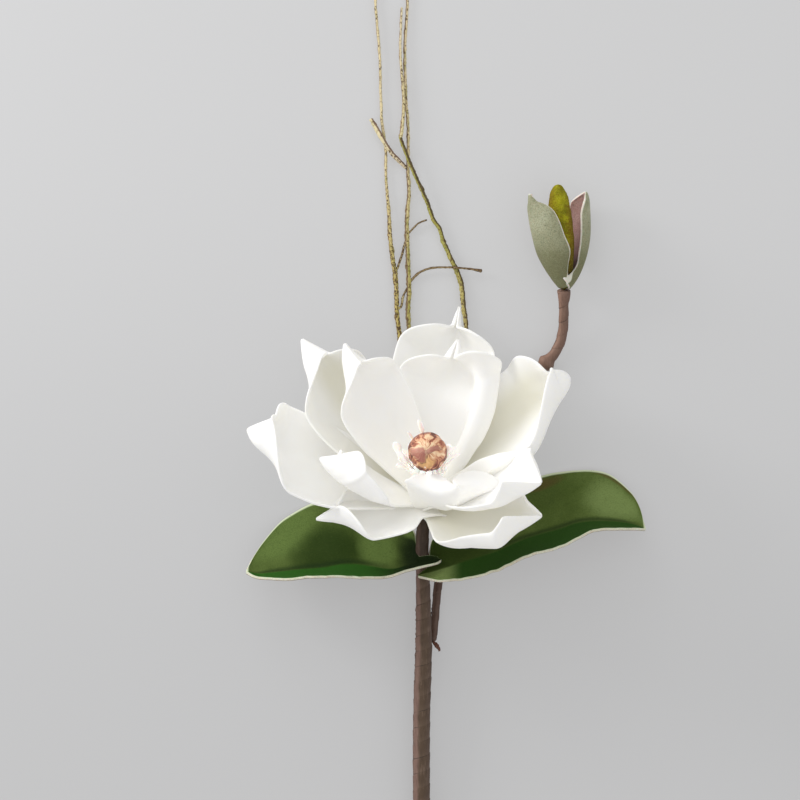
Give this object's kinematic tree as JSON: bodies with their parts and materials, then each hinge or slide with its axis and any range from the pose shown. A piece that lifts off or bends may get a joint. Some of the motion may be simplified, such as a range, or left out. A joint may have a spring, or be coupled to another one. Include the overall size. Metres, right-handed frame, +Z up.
{
  "type": "magnolia branch",
  "caption": "Artificial magnolia branch with an open white flower around a copper-brown seed ball, a half-closed bud, two folded leaves and a spray of thin twigs on a taped stem.",
  "frame": {"origin": "on the surface the branch lies on, under the middle of its bounding box", "axes": "+Y along the stem from the cut end towards the flower and the twig tips, +Z up out of the flower's face, +X towards the bud's side"},
  "size_m": [0.2218, 0.5394, 0.0986],
  "materials": {
    "white_foam": "soft satin white foam sheet, faintly translucent",
    "copper_ball": "glossy copper-brown with lighter swirls",
    "cream_stamens": "matt cream-white",
    "leaf_foam": "satin speckled dark green with a pale rim",
    "bract_foam": "matt speckled grey-green outside, mauve inside",
    "green_velvet": "flocked yellow-green",
    "stem_tape": "brown-mauve floral tape wound in a spiral",
    "twig_bark": "gold and yellow-green bark with dark brown specks"
  },
  "bodies": {
    "root": {"petal_front": "white_foam", "petal_left_low_inner": "white_foam", "petal_right_low_inner": "white_foam", "petal_left_high_inner": "white_foam", "petal_back_inner": "white_foam", "petal_left_high_outer": "white_foam", "petal_right_high_outer": "white_foam", "petal_left_outer": "white_foam", "petal_left_low_outer": "white_foam", "petal_right_low_outer": "white_foam", "petal_back_outer": "white_foam", "seed_ball": "copper_ball", "stamen_fringe": "cream_stamens", "receptacle": "stem_tape", "main_stem": "stem_tape", "side_branch": "stem_tape", "twig_left": "twig_bark", "twig_centre": "twig_bark", "twig_right": "twig_bark", "twig_tip": "twig_bark", "twig_cross": "twig_bark", "sprig_upper": "twig_bark", "sprig_lower": "twig_bark", "link_upper": "twig_bark", "link_lower": "twig_bark", "bract_left": "bract_foam", "bract_right": "bract_foam", "bud_core": "green_velvet", "leaf_left": "leaf_foam", "leaf_right": "leaf_foam"}
  },
  "joints": []
}
